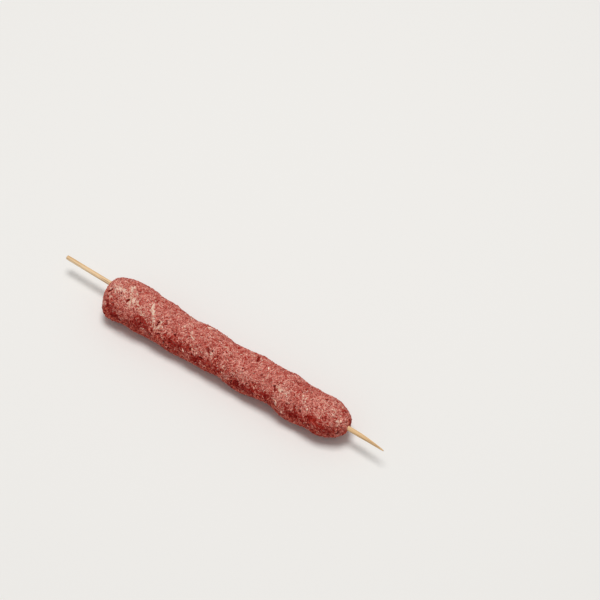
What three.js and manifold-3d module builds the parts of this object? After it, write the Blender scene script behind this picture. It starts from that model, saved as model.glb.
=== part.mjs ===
// A raw kofta skewer: minced meat pressed by hand round a round bamboo stick, lying on its side.
//
// Millimetres, +Z up. The stick runs along X, from its blunt end at -X to its sharpened tip at +X.
// The origin is under the middle of the stick, on the surface that the meat rests on.

import * as THREE from "three";
import { mergeVertices } from "three/addons/utils/BufferGeometryUtils.js";
import Module from "manifold-3d";

// ---- Driving dimensions, in millimetres and degrees ----

// The bamboo stick.
const STICK_LENGTH = 250;
const STICK_DIAMETER = 3;
const STICK_HEIGHT = 13.4; // of its axis above the resting surface
const BLUNT_END_CHAMFER = 0.3;
const POINT_LENGTH = 19; // the sharpened stretch
const POINT_END_RADIUS = 0.25;
const POINT_FULLNESS = 0.8; // 1 is a straight cone, less keeps the stick fat for longer
const POINT_OFFSET = 0.8; // how far the very tip lies off the stick's axis, towards -Y

// The minced meat.
const MEAT_START = -87;
const MEAT_END = 98.3;
const MEAT_RADIUS_AT_START = 14.5;
const MEAT_RADIUS_AT_END = 12.6;
const THINNING_LENGTH = 75; // over which the fuller first end falls to the radius of the rest
const MEAT_SIDE_AT_START = -4.6; // where the meat's middle lies beside the stick, in Y
const MEAT_SIDE_AT_END = -0.1;
const SECTION_WIDTH_FACTOR = 1.02; // raw meat spreads a little under its own weight
const SECTION_HEIGHT_FACTOR = 0.97;
const UNDERSIDE_PRESS = 1.3; // how much of the round section the resting surface flattens away
const BORE_CLEARANCE = 0.3;

// The meat's rounded ends: their length along the stick, and how square their shoulders are.
const BLUNT_CAP = { length: 12, squareness: 2.1 };
const ROUND_CAP = { length: 17.5, squareness: 2 };

// What the hands left: lumps and, with a negative rise, dents. `at` is the place along X and
// `angle` the place round the meat, from 0 at +Y over 90 on top to 180 at -Y. `reach` and
// `spread` say how far each one goes along and round the meat.
const LUMPS = [
  { at: -83, angle: 222, rise: 2.2, reach: 8, spread: 32 },
  { at: -82, angle: 30, rise: -1.4, reach: 9, spread: 45 },
  { at: -66, angle: 35, rise: 0.9, reach: 11, spread: 45 },
  { at: -58, angle: 130, rise: 0.7, reach: 10, spread: 40 },
  { at: -44, angle: 225, rise: -0.8, reach: 9, spread: 40 },
  { at: -38, angle: 95, rise: -0.7, reach: 12, spread: 35 },
  { at: -29, angle: 215, rise: 0.6, reach: 10, spread: 40 },
  { at: -21, angle: 35, rise: -0.7, reach: 9, spread: 40 },
  { at: -11, angle: 25, rise: 0.9, reach: 9, spread: 40 },
  { at: -8, angle: 215, rise: -0.7, reach: 9, spread: 40 },
  { at: -6, angle: 140, rise: 0.6, reach: 11, spread: 40 },
  { at: 7, angle: 40, rise: -1.1, reach: 8, spread: 45 },
  { at: 9, angle: 210, rise: -1.0, reach: 7, spread: 45 },
  { at: 30, angle: 30, rise: 0.6, reach: 12, spread: 45 },
  { at: 23, angle: 205, rise: 0.5, reach: 9, spread: 45 },
  { at: 43, angle: 212, rise: -2.3, reach: 10, spread: 42 },
  { at: 49, angle: 35, rise: 1.1, reach: 10, spread: 45 },
  { at: 58, angle: 205, rise: 0.8, reach: 8, spread: 42 },
  { at: 70, angle: 75, rise: -0.8, reach: 9, spread: 45 },
  { at: 71, angle: 215, rise: -0.8, reach: 9, spread: 40 },
  { at: 83, angle: 45, rise: 1.0, reach: 8, spread: 50 },
  { at: 94, angle: 215, rise: -2.2, reach: 10, spread: 50 },
];

// The finer unevenness between the lumps: waves that wind round the meat as they run along it.
// `lobes` is how many crests one turn round the meat meets.
const RIPPLES = [
  { height: 0.2, length: 14, lobes: 2 },
  { height: 0.25, length: -23, lobes: 3 },
  { height: 0.25, length: 37, lobes: 4 },
];

// How finely the surfaces are divided.
const STICK_SIDES = 24;
const POINT_RINGS = 8;
const MEAT_SIDES = 44;
const CAP_RINGS = 7;
const RING_SPACING = 4.2;

// ---- Worked out from them ----

const STICK_RADIUS = STICK_DIAMETER / 2;
const BORE_RADIUS = STICK_RADIUS + BORE_CLEARANCE;
const TIP_X = STICK_LENGTH / 2;
const POINT_START = TIP_X - POINT_LENGTH;
const CUTTER_MARGIN = 20; // how far the bore's cutter reaches past both ends of the meat
const CUTTER_DEPTH = 40; // how far the underside's cutter reaches down
const CUTTER_WIDTH = 4 * MEAT_RADIUS_AT_START;

// ---- Shared helpers ----

/** Turns an angle in degrees into the range from -180 to 180. */
function wrapDegrees(angle) {
  return THREE.MathUtils.euclideanModulo(angle + 180, 360) - 180;
}

/** Makes an indexed geometry of positions only, with its shared vertices merged. */
function weld(geometry) {
  const bare = geometry.clone();
  bare.deleteAttribute("normal");
  bare.deleteAttribute("uv");
  return mergeVertices(bare, 1e-4);
}

const wasm = await Module();
wasm.setup();

/** Makes a manifold solid of a closed geometry. */
function toSolid(geometry) {
  const welded = weld(geometry);
  const mesh = new wasm.Mesh({
    numProp: 3,
    vertProperties: Float32Array.from(welded.attributes.position.array),
    triVerts: Uint32Array.from(welded.index.array),
  });
  return new wasm.Manifold(mesh);
}

/** Makes a geometry of a manifold solid. */
function toGeometry(solid) {
  const mesh = solid.getMesh();
  const geometry = new THREE.BufferGeometry();
  geometry.setAttribute("position", new THREE.BufferAttribute(mesh.vertProperties, 3));
  geometry.setIndex(new THREE.BufferAttribute(mesh.triVerts, 1));
  geometry.computeVertexNormals();
  return geometry;
}

// ---- The stick ----

/** The stick's half outline, from the middle of the blunt end to the middle of the tip. */
function stickProfile() {
  const profile = [
    new THREE.Vector2(0, -TIP_X),
    new THREE.Vector2(STICK_RADIUS - BLUNT_END_CHAMFER, -TIP_X),
    new THREE.Vector2(STICK_RADIUS, -TIP_X + BLUNT_END_CHAMFER),
  ];
  for (let ring = 0; ring <= POINT_RINGS; ring += 1) {
    const t = ring / POINT_RINGS;
    const narrowing = (1 - t) ** POINT_FULLNESS;
    const radius = POINT_END_RADIUS + (STICK_RADIUS - POINT_END_RADIUS) * narrowing;
    profile.push(new THREE.Vector2(radius, POINT_START + POINT_LENGTH * t));
  }
  profile.push(new THREE.Vector2(0, TIP_X));
  return profile;
}

/** The round bamboo stick, lying along X, with its point cut a little to one side. */
function stickGeometry() {
  const geometry = new THREE.LatheGeometry(stickProfile(), STICK_SIDES);
  geometry.rotateZ(-Math.PI / 2);
  const position = geometry.attributes.position;
  for (let i = 0; i < position.count; i += 1) {
    const along = (position.getX(i) - POINT_START) / POINT_LENGTH;
    position.setY(i, position.getY(i) - POINT_OFFSET * Math.max(along, 0) ** 2);
  }
  return weld(geometry);
}

// ---- The meat ----

/** The point of the stick's axis at a place along it. */
function stickAxis(x) {
  return new THREE.Vector3(x, 0, STICK_HEIGHT);
}

/** The meat's mean radius at a place along the stick, before its ends are rounded off. */
function meatRadius(x) {
  const t = THREE.MathUtils.smoothstep(x, MEAT_START, MEAT_START + THINNING_LENGTH);
  return THREE.MathUtils.lerp(MEAT_RADIUS_AT_START, MEAT_RADIUS_AT_END, t);
}

/** Where the meat's middle lies in Y at a place along the stick. */
function meatSide(x) {
  const t = (x - MEAT_START) / (MEAT_END - MEAT_START);
  return THREE.MathUtils.lerp(MEAT_SIDE_AT_START, MEAT_SIDE_AT_END, t);
}

/** How far the hand-pressed surface stands out of the smooth one. */
function lumpHeight(x, angle) {
  let height = 0;
  for (const lump of LUMPS) {
    const along = (x - lump.at) / lump.reach;
    const round = wrapDegrees(angle - lump.angle) / lump.spread;
    height += lump.rise * Math.exp(-along * along - round * round);
  }
  const turn = THREE.MathUtils.degToRad(angle);
  for (const ripple of RIPPLES) {
    const wave = (2 * Math.PI * x) / ripple.length;
    height += ripple.height * Math.cos(wave + ripple.lobes * turn);
  }
  return height;
}

/**
 * The rings of one rounded end, from the one next to the stick to the full section. Each ring has
 * its place along X and its share of the full section. `inward` is 1 at the end that faces -X.
 */
function capRings(cap, end, inward) {
  const rings = [];
  const power = 2 / cap.squareness;
  for (let i = 1; i <= CAP_RINGS; i += 1) {
    const turn = (Math.PI / 2) * (i / CAP_RINGS);
    const depth = cap.length * (1 - Math.cos(turn) ** power);
    rings.push({ x: end + inward * depth, share: Math.sin(turn) ** power });
  }
  return rings;
}

/** All the meat's rings, in order along +X. */
function meatRings() {
  const startRings = capRings(BLUNT_CAP, MEAT_START, 1);
  const endRings = capRings(ROUND_CAP, MEAT_END, -1).reverse();
  const from = MEAT_START + BLUNT_CAP.length;
  const to = MEAT_END - ROUND_CAP.length;
  const steps = Math.round((to - from) / RING_SPACING);
  const middleRings = [];
  for (let i = 1; i < steps; i += 1) {
    middleRings.push({ x: THREE.MathUtils.lerp(from, to, i / steps), share: 1 });
  }
  return [...startRings, ...middleRings, ...endRings];
}

/** The middle of the meat's full section at a place along the stick. */
function sectionCentre(x) {
  const height = meatRadius(x) * SECTION_HEIGHT_FACTOR - UNDERSIDE_PRESS;
  return new THREE.Vector3(x, meatSide(x), height);
}

/** The point at an angle round one ring. The rings of both ends close in on the stick's axis. */
function ringPoint(ring, angle) {
  const turn = THREE.MathUtils.degToRad(angle);
  const radius = meatRadius(ring.x) + lumpHeight(ring.x, angle);
  const onFullSection = sectionCentre(ring.x);
  onFullSection.y += radius * SECTION_WIDTH_FACTOR * Math.cos(turn);
  onFullSection.z += radius * SECTION_HEIGHT_FACTOR * Math.sin(turn);
  return stickAxis(ring.x).lerp(onFullSection, ring.share);
}

/** The meat's whole outer shape, with no bore, and before its underside is flattened. */
function meatOutline() {
  const rings = meatRings();
  const positions = [];
  const indices = [];
  positions.push(...stickAxis(MEAT_START).toArray());
  for (const ring of rings) {
    for (let side = 0; side < MEAT_SIDES; side += 1) {
      positions.push(...ringPoint(ring, (360 * side) / MEAT_SIDES).toArray());
    }
  }
  positions.push(...stickAxis(MEAT_END).toArray());

  const last = 1 + rings.length * MEAT_SIDES;
  for (let side = 0; side < MEAT_SIDES; side += 1) {
    const next = (side + 1) % MEAT_SIDES;
    indices.push(0, 1 + next, 1 + side);
    for (let row = 0; row < rings.length - 1; row += 1) {
      const a = 1 + row * MEAT_SIDES + side;
      const b = 1 + row * MEAT_SIDES + next;
      indices.push(a, b, b + MEAT_SIDES);
      indices.push(a, b + MEAT_SIDES, a + MEAT_SIDES);
    }
    const end = 1 + (rings.length - 1) * MEAT_SIDES;
    indices.push(end + side, end + next, last);
  }

  const geometry = new THREE.BufferGeometry();
  geometry.setAttribute("position", new THREE.Float32BufferAttribute(positions, 3));
  geometry.setIndex(indices);
  return geometry;
}

/** The meat: its outer shape, flat where it rests, with the stick's bore right through it. */
function meatGeometry() {
  const board = new THREE.BoxGeometry(STICK_LENGTH, CUTTER_WIDTH, CUTTER_DEPTH);
  board.translate(0, 0, -CUTTER_DEPTH / 2);
  const boreLength = MEAT_END - MEAT_START + 2 * CUTTER_MARGIN;
  const bore = new THREE.CylinderGeometry(BORE_RADIUS, BORE_RADIUS, boreLength, STICK_SIDES);
  bore.rotateZ(Math.PI / 2);
  bore.translate((MEAT_START + MEAT_END) / 2, 0, STICK_HEIGHT);
  const solid = toSolid(meatOutline()).subtract(toSolid(board)).subtract(toSolid(bore));
  return toGeometry(solid);
}

// ---- The finished skewer ----

const bamboo = new THREE.MeshStandardMaterial({ color: 0xe2c79a, roughness: 0.65, metalness: 0 });
const mince = new THREE.MeshStandardMaterial({ color: 0xb5625f, roughness: 0.5, metalness: 0 });

const stick = new THREE.Mesh(stickGeometry(), bamboo);
stick.name = "stick";
stick.position.set(0, 0, STICK_HEIGHT);

const meat = new THREE.Mesh(meatGeometry(), mince);
meat.name = "meat";

const skewer = new THREE.Group();
skewer.add(stick, meat);

export default skewer;
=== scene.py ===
"""The looks of a raw kofta skewer: minced meat pressed by hand round a bamboo stick.

Everything is in metres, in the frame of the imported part: +X along the stick towards its point,
+Z up, and the meat resting on the floor at Z = 0. A turn round the meat is an angle in degrees
about the middle of its section, where 0 is +Y, 90 is the top and 180 is -Y.
"""

import logging
import math
from dataclasses import InitVar, dataclass, field
from enum import Enum

import bmesh
import bpy
import numpy as np
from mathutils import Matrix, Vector
from mathutils.bvhtree import BVHTree
from mathutils.kdtree import KDTree

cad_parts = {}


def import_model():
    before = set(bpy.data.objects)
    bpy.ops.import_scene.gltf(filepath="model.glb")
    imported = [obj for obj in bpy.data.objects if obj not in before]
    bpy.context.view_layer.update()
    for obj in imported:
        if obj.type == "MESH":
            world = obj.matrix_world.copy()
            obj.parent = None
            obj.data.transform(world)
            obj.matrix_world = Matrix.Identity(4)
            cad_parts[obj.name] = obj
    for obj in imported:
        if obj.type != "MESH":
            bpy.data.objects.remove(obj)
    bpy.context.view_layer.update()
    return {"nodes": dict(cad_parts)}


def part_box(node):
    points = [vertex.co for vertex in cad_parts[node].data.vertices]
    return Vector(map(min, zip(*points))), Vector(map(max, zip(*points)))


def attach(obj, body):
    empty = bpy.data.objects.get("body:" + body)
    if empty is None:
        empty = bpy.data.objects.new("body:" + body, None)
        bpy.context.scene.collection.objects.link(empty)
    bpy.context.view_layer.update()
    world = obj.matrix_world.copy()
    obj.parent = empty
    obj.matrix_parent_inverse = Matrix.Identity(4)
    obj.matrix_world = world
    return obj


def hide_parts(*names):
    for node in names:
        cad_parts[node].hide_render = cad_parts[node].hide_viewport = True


MM = 0.001
SEED = 20417
FLOOR_GAP = 0.02 * MM

Socket = bpy.types.NodeSocket
Feed = Socket | float | tuple[float, ...]
Colour = tuple[float, float, float, float]
Span = tuple[float, float]

log = logging.getLogger("kofta")


# ---------------------------------------------------------------- node helpers


class Tree:
    """A thin wrapper that adds and links the nodes of one node tree."""

    def __init__(self, tree: bpy.types.NodeTree) -> None:
        """Keeps the tree that nodes are added to."""
        self.tree = tree

    def add(
        self, kind: str, inputs: dict[str | int, Feed] | None = None, **settings: object
    ) -> bpy.types.Node:
        """Adds a node.

        Args:
            kind: the node's type name, without a leading ShaderNode.
            inputs: plain values or output sockets, by input name or index.
            **settings: attributes to set on the node.

        Returns:
            The new node.
        """
        node = self.tree.nodes.new(kind if kind.startswith("Node") else "ShaderNode" + kind)
        for key, value in settings.items():
            setattr(node, key, value)
        self.feed(node, inputs or {})
        return node

    def feed(self, node: bpy.types.Node, inputs: dict[str | int, Feed]) -> None:
        """Sets a node's inputs to plain values, or links output sockets to them.

        Args:
            node: the node.
            inputs: plain values or output sockets, by input name or index.
        """
        for key, value in inputs.items():
            if isinstance(value, Socket):
                self.tree.links.new(value, node.inputs[key])
            else:
                node.inputs[key].default_value = value

    def math(self, operation: str, *values: Feed) -> Socket:
        """Adds a Math node with its values in order, and returns its output."""
        return self.add("Math", dict(enumerate(values)), operation=operation).outputs[0]

    def mix(self, factor: Feed, a: Feed, b: Feed, blend: str = "MIX") -> Socket:
        """Adds a colour Mix node, where the factor is the share of b, and returns its output."""
        inputs = {"Factor": factor, 6: a, 7: b}
        return self.add("Mix", inputs, data_type="RGBA", blend_type=blend).outputs[2]

    def step(self, value: Feed, low: float, high: float) -> Socket:
        """Maps low to 0 and high to 1 with soft ends, and returns the output."""
        inputs = {"Value": value, "From Min": low, "From Max": high}
        return self.add("MapRange", inputs, interpolation_type="SMOOTHSTEP").outputs[0]

    def span(self, value: Feed, low: float, high: float) -> Socket:
        """Maps 0 to low and 1 to high, and returns the output."""
        return self.add("MapRange", {"Value": value, "To Min": low, "To Max": high}).outputs[0]

    def layers(self, *names: str) -> list[Socket]:
        """Adds a node for each of the mesh's named values, and returns their outputs."""
        return [self.add("Attribute", attribute_name=name).outputs["Fac"] for name in names]

    def place(self, group: bpy.types.NodeTree, scale: float) -> list[Socket]:
        """Adds a node group at a scale, and returns its outputs."""
        return list(self.add("Group", {"Scale": scale}, node_tree=group).outputs)

    def bump(self, height: Feed, distance: float, strength: float) -> Socket:
        """Adds a Bump node, and returns its normal."""
        return self.add("Bump", {"Height": height, "Distance": distance, "Strength": strength}).outputs[0]


def new_material(name: str) -> tuple[bpy.types.Material, Tree, bpy.types.Node]:
    """Makes an empty material with a Principled shader on its output.

    Args:
        name: the material's name.

    Returns:
        The material, its tree wrapper and its Principled node.
    """
    material = bpy.data.materials.new(name)
    material.use_nodes = True
    material.node_tree.nodes.clear()
    tree = Tree(material.node_tree)
    shader = tree.add("BsdfPrincipled")
    tree.add("OutputMaterial", {"Surface": shader.outputs[0]})
    return material, tree, shader


@dataclass(frozen=True)
class FleshNoise:
    """One noise of the flesh: its scale as a multiple of the group's, its detail and its distortion."""

    times: float
    detail: float
    distortion: float


@dataclass(frozen=True)
class FleshGrain:
    """The finest grain, which mince and fat share."""

    crumbs: FleshNoise = FleshNoise(1.0, 3.0, 0.3)
    swirls: FleshNoise = FleshNoise(0.55, 1.0, 1.2)
    mottling: FleshNoise = FleshNoise(0.14, 2.0, 0.0)
    fibre_width: float = 0.09

    def group(self) -> bpy.types.NodeTree:
        """Makes the node group.

        Returns:
            A group with a Scale input and three outputs from 0 to 1: Grain is crumbly noise, Fibre
            is thin curly lines, and Patch is slow mottling.
        """
        group = bpy.data.node_groups.new("flesh_grain", "ShaderNodeTree")
        group.interface.new_socket("Scale", in_out="INPUT", socket_type="NodeSocketFloat")
        for name in ("Grain", "Fibre", "Patch"):
            group.interface.new_socket(name, in_out="OUTPUT", socket_type="NodeSocketFloat")
        tree = Tree(group)
        scale = tree.add("NodeGroupInput").outputs["Scale"]
        place = tree.add("TexCoord").outputs["Object"]

        def noise(kind: FleshNoise) -> Socket:
            """Adds a noise of that kind, and returns its output."""
            inputs = {
                "Vector": place, "Scale": tree.math("MULTIPLY", scale, kind.times),
                "Detail": kind.detail, "Distortion": kind.distortion,
            }
            return tree.add("TexNoise", inputs).outputs["Fac"]

        line = tree.math("ABSOLUTE", tree.math("SUBTRACT", noise(self.swirls), 0.5))
        gap = tree.step(line, 0.0, self.fibre_width)
        fibre = tree.math("SUBTRACT", 1.0, gap)
        grain, patch = noise(self.crumbs), noise(self.mottling)
        tree.add("NodeGroupOutput", {"Grain": grain, "Fibre": fibre, "Patch": patch})
        return group


# ------------------------------------------------------------------ mesh tools


def mesh_object(name: str, points: np.ndarray, faces: list[tuple[int, ...]]) -> bpy.types.Object:
    """Makes a smooth-shaded mesh object at the origin.

    Args:
        name: the object's name.
        points: one row of three coordinates for each vertex.
        faces: the vertex numbers of each face.

    Returns:
        The new object.
    """
    mesh = bpy.data.meshes.new(name)
    mesh.from_pydata(points.tolist(), [], faces)
    mesh.update()
    mesh.polygons.foreach_set("use_smooth", [True] * len(mesh.polygons))
    made = bpy.data.objects.new(name, mesh)
    bpy.context.scene.collection.objects.link(made)
    return made


def read_rows(
    items: bpy.types.bpy_prop_collection, name: str, kind: type, width: int = 3
) -> np.ndarray:
    """Reads a named value of each item of a mesh.

    Args:
        items: the mesh's vertices, normals, edges or triangles.
        name: the value's name.
        kind: the type of its numbers.
        width: how many numbers it has.

    Returns:
        One row of numbers for each item.
    """
    flat = np.empty(len(items) * width, kind)
    items.foreach_get(name, flat)
    return flat.reshape(-1, width)


def read_points(mesh: bpy.types.Mesh) -> np.ndarray:
    """Returns the mesh's vertices, one row each."""
    return read_rows(mesh.vertices, "co", np.float32).astype(float)


def read_normals(mesh: bpy.types.Mesh) -> np.ndarray:
    """Returns the mesh's vertex normals, one row each."""
    return read_rows(mesh.vertex_normals, "vector", np.float32).astype(float)


def read_edges(mesh: bpy.types.Mesh) -> np.ndarray:
    """Returns the mesh's edges as pairs of vertex numbers."""
    return read_rows(mesh.edges, "vertices", np.int32, 2)


def read_triangles(mesh: bpy.types.Mesh) -> np.ndarray:
    """Returns the vertex numbers of the mesh's triangles, one row each."""
    mesh.calc_loop_triangles()
    return read_rows(mesh.loop_triangles, "vertices", np.int32)


def write_points(mesh: bpy.types.Mesh, points: np.ndarray) -> None:
    """Moves the mesh's vertices to the given points."""
    mesh.vertices.foreach_set("co", points.astype(np.float32).ravel())
    mesh.update()


def write_values(mesh: bpy.types.Mesh, **layers: np.ndarray) -> None:
    """Stores numbers on a mesh as attributes, which the finishes read.

    Args:
        mesh: the mesh.
        **layers: a number for each vertex, under each attribute's name.
    """
    for name, values in layers.items():
        layer = mesh.attributes.new(name, "FLOAT", "POINT")
        layer.data.foreach_set("value", values.astype(np.float32).ravel())


def apply_modifiers(obj: bpy.types.Object) -> None:
    """Replaces an object's mesh by what its modifiers make of it, and removes them.

    Args:
        obj: the object.
    """
    graph = bpy.context.evaluated_depsgraph_get()
    made = bpy.data.meshes.new_from_object(obj.evaluated_get(graph))
    obj.modifiers.clear()
    obj.data = made
    made.name = obj.name


def neighbour_mean(values: np.ndarray, edges: np.ndarray) -> np.ndarray:
    """Averages each vertex's neighbours.

    Args:
        values: one row or number for each vertex.
        edges: pairs of vertex numbers.

    Returns:
        The means, in an array shaped as values.
    """
    a, b = edges.T
    count = np.bincount(edges.ravel(), minlength=len(values)).clip(1)
    columns = [
        (np.bincount(a, column[b], len(values)) + np.bincount(b, column[a], len(values))) / count
        for column in values.reshape(len(values), -1).T
    ]
    return np.stack(columns, 1).reshape(values.shape)


def smoothed(values: np.ndarray, edges: np.ndarray, rounds: int, pull: float = 0.7) -> np.ndarray:
    """Blurs values over a mesh.

    Args:
        values: one row or number for each vertex.
        edges: pairs of vertex numbers.
        rounds: how many times each vertex moves towards its neighbours' mean.
        pull: how far it moves each time, from 0 to 1.

    Returns:
        The blurred values.
    """
    for _ in range(rounds):
        values = values + pull * (neighbour_mean(values, edges) - values)
    return values


def unit(vectors: np.ndarray) -> np.ndarray:
    """Returns the vectors at length one."""
    return vectors / np.linalg.norm(vectors, axis=-1, keepdims=True).clip(1e-12)


def tube_faces(rings: int, sides: int) -> list[tuple[int, ...]]:
    """Lists the faces of a tube with closed ends.

    Args:
        rings: how many rings of points it has.
        sides: how many points a ring has.

    Returns:
        The faces. The points are numbered ring by ring, and the two end points come last.
    """
    around = [(k, (k + 1) % sides) for k in range(sides)]
    tip, last = rings * sides, (rings - 1) * sides
    faces = [
        (i * sides + a, i * sides + b, (i + 1) * sides + b, (i + 1) * sides + a)
        for i in range(rings - 1) for a, b in around
    ]
    return faces + [(tip, b, a) for a, b in around] + [(tip + 1, last + a, last + b) for a, b in around]


def above_floor(points: np.ndarray) -> np.ndarray:
    """Returns the points with those below the floor lifted to just above it."""
    return np.column_stack([points[:, :2], np.maximum(points[:, 2], FLOOR_GAP)])


def soft_step(values: np.ndarray, low: float, high: float) -> np.ndarray:
    """Maps low to 0 and high to 1 with soft ends."""
    t = ((values - low) / (high - low)).clip(0, 1)
    return t * t * (3 - 2 * t)


class SoftNoise:
    """Smooth random waves in space: a sum of sines in random directions."""

    WAVES = 24
    SPREAD = (0.7, 1.4)

    def __init__(self, rng: np.random.Generator, wavelength: float) -> None:
        """Draws the waves.

        Args:
            rng: where the random numbers come from.
            wavelength: the mean length of a wave.
        """
        waves = self.WAVES
        lengths = wavelength * rng.uniform(*self.SPREAD, waves)
        self.ways = unit(rng.normal(size=(waves, 3))) * (2 * math.pi / lengths)[:, None]
        self.starts = rng.uniform(0, 2 * math.pi, waves)
        self.scale = math.sqrt(2 / waves)

    def __call__(self, points: np.ndarray) -> np.ndarray:
        """Returns the noise at the points, with a mean of 0 and a spread of 1."""
        return np.sin(points @ self.ways.T + self.starts).sum(1) * self.scale


# ------------------------------------------------------------------- materials


@dataclass(frozen=True)
class MinceFinish:
    """Raw mince: pressed strands in pinkish red, pale fat, and dark red gaps between them that are partly
    painted shade, with painted shade on the low sides.
    """

    # gap is the dark red of recesses and pits: partly the lean meat's own colour, partly painted shade
    gap: Colour = (0.210, 0.008, 0.004, 1)
    lean: Colour = (0.385, 0.018, 0.009, 1)
    pink: Colour = (0.595, 0.183, 0.145, 1)
    rose: Colour = (0.920, 0.425, 0.350, 1)
    fat: Colour = (0.880, 0.625, 0.500, 1)
    tallow: Colour = (0.740, 0.435, 0.330, 1)
    # Painted shade: the low sides are multiplied towards these dark and pale reds
    painted_shade_dark: Colour = (0.55, 0.01, 0.0, 1)
    painted_shade_pale: Colour = (0.84, 0.40, 0.32, 1)
    glints: Colour = (1.0, 0.60, 0.52, 1)
    glint_level: float = 0.16
    grain_scale: float = 1600.0
    grain_shift: Span = (-1.00, 0.98)
    patch_shift: Span = (-0.17, 0.13)
    fibre_lift: float = 0.22
    pink_from: Span = (0.0, 0.9)
    rose_from: Span = (0.6, 1.6)
    gap_from: Span = (0.08, 0.92)
    fat_from: Span = (0.2, 0.9)
    tallow_from: Span = (0.42, 0.62)
    painted_shade_pale_from: Span = (0.0, 1.1)
    fat_lost_in_gaps: float = 0.5
    relief: float = 0.12 * MM
    relief_strength: float = 0.8
    roughness: Span = (0.22, 0.50)
    dull_when_low: float = 0.45
    glow: float = 0.15
    glow_reach: tuple[float, float, float] = (1.0, 0.25, 0.15)
    glow_scale: float = 0.5 * MM

    def material(self, grain: bpy.types.NodeTree) -> bpy.types.Material:
        """Builds the material, which reads the attributes tone, fat, depth and low, where depth and low
        carry painted shade.

        Args:
            grain: the node group of the finest grain.

        Returns:
            The material.
        """
        material, tree, shader = new_material("mince")
        tone, fat, depth, low = tree.layers("tone", "fat", "depth", "low")
        crumbs, fibres, patch = tree.place(grain, self.grain_scale)
        shift = tree.span(crumbs, *self.grain_shift)
        fibres = tree.math("MULTIPLY", fibres, self.fibre_lift)
        warm = tree.math("ADD", tree.math("ADD", tone, shift), fibres)
        warm = tree.math("ADD", warm, tree.span(patch, *self.patch_shift))
        colour = tree.mix(tree.step(warm, *self.pink_from), self.lean, self.pink)
        colour = tree.mix(tree.step(warm, *self.rose_from), colour, self.rose)
        # Painted shade: the deeper a place lies between strands or in a pit, the more it takes the gap
        # colour
        deep = tree.step(tree.math("SUBTRACT", depth, shift), *self.gap_from)
        colour = tree.mix(deep, colour, self.gap)
        fatty = tree.mix(tree.step(patch, *self.tallow_from), self.fat, self.tallow)
        lost = tree.math("MULTIPLY", depth, self.fat_lost_in_gaps)
        fat = tree.math("SUBTRACT", tree.math("ADD", fat, shift), lost)
        colour = tree.mix(tree.step(fat, *self.fat_from), colour, fatty)
        # Painted shade: darker and redder on the low sides, with paler strands kept paler
        stain_and_painted_shade = tree.mix(tree.step(warm, *self.painted_shade_pale_from), self.painted_shade_dark, self.painted_shade_pale)
        colour = tree.mix(low, colour, tree.mix(1.0, colour, stain_and_painted_shade, "MULTIPLY"))
        dull = tree.math("MULTIPLY", tree.math("MAXIMUM", low, depth), self.dull_when_low)
        rough = tree.math("ADD", tree.span(crumbs, *self.roughness), dull)
        bump = tree.bump(tree.math("ADD", crumbs, fibres), self.relief, self.relief_strength)
        tree.feed(shader, {
            "Base Color": colour,
            "Roughness": rough,
            "Normal": bump,
            "Subsurface Weight": self.glow,
            "Subsurface Radius": self.glow_reach,
            "Subsurface Scale": self.glow_scale,
            "Specular IOR Level": self.glint_level,
            "Specular Tint": self.glints,
        })
        return material


@dataclass(frozen=True)
class FatFinish:
    """Small bits of raw fat: creamy white with a pink cast at their edges."""

    cream: Colour = (0.930, 0.625, 0.500, 1)
    pink: Colour = (0.780, 0.330, 0.245, 1)
    grain_scale: float = 1500.0
    grain_shift: Span = (-0.5, 0.5)
    pink_from: Span = (0.2, 1.0)
    pink_in_painted_shade: float = 0.85
    relief: float = 0.06 * MM
    relief_strength: float = 0.6
    roughness: Span = (0.36, 0.56)
    glow: float = 0.2
    glow_reach: tuple[float, float, float] = (1.0, 0.6, 0.4)
    glow_scale: float = 0.5 * MM

    def material(self, grain: bpy.types.NodeTree) -> bpy.types.Material:
        """Builds the material, which reads the attributes depth, for pink staining, and low, for painted
        shade.

        Args:
            grain: the node group of the finest grain.

        Returns:
            The material.
        """
        material, tree, shader = new_material("fat")
        depth, low = tree.layers("depth", "low")
        crumbs, _, _ = tree.place(grain, self.grain_scale)
        stain_and_painted_shade = tree.math("ADD", depth, tree.span(crumbs, *self.grain_shift))
        colour = tree.mix(tree.step(stain_and_painted_shade, *self.pink_from), self.cream, self.pink)
        # Painted shade: fat on the low sides goes pinker
        colour = tree.mix(tree.math("MULTIPLY", low, self.pink_in_painted_shade), colour, self.pink)
        bump = tree.bump(crumbs, self.relief, self.relief_strength)
        tree.feed(shader, {
            "Base Color": colour,
            "Roughness": tree.span(crumbs, *self.roughness),
            "Normal": bump,
            "Subsurface Weight": self.glow,
            "Subsurface Radius": self.glow_reach,
            "Subsurface Scale": self.glow_scale,
        })
        return material


@dataclass(frozen=True)
class Streaks:
    """Noise drawn out along the stick, with its waves in a metre along it and across it."""

    along: float
    across: float
    detail: float

    def noise(self, tree: Tree, place: Socket) -> Socket:
        """Adds the noise.

        Args:
            tree: the tree to add it to.
            place: the coordinates that it follows.

        Returns:
            Its output, from 0 to 1.
        """
        scale = (self.along, self.across, self.across)
        drawn = tree.add("Mapping", {"Vector": place, "Scale": scale}).outputs[0]
        return tree.add("TexNoise", {"Vector": drawn, "Scale": 1.0, "Detail": self.detail}).outputs["Fac"]


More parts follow.
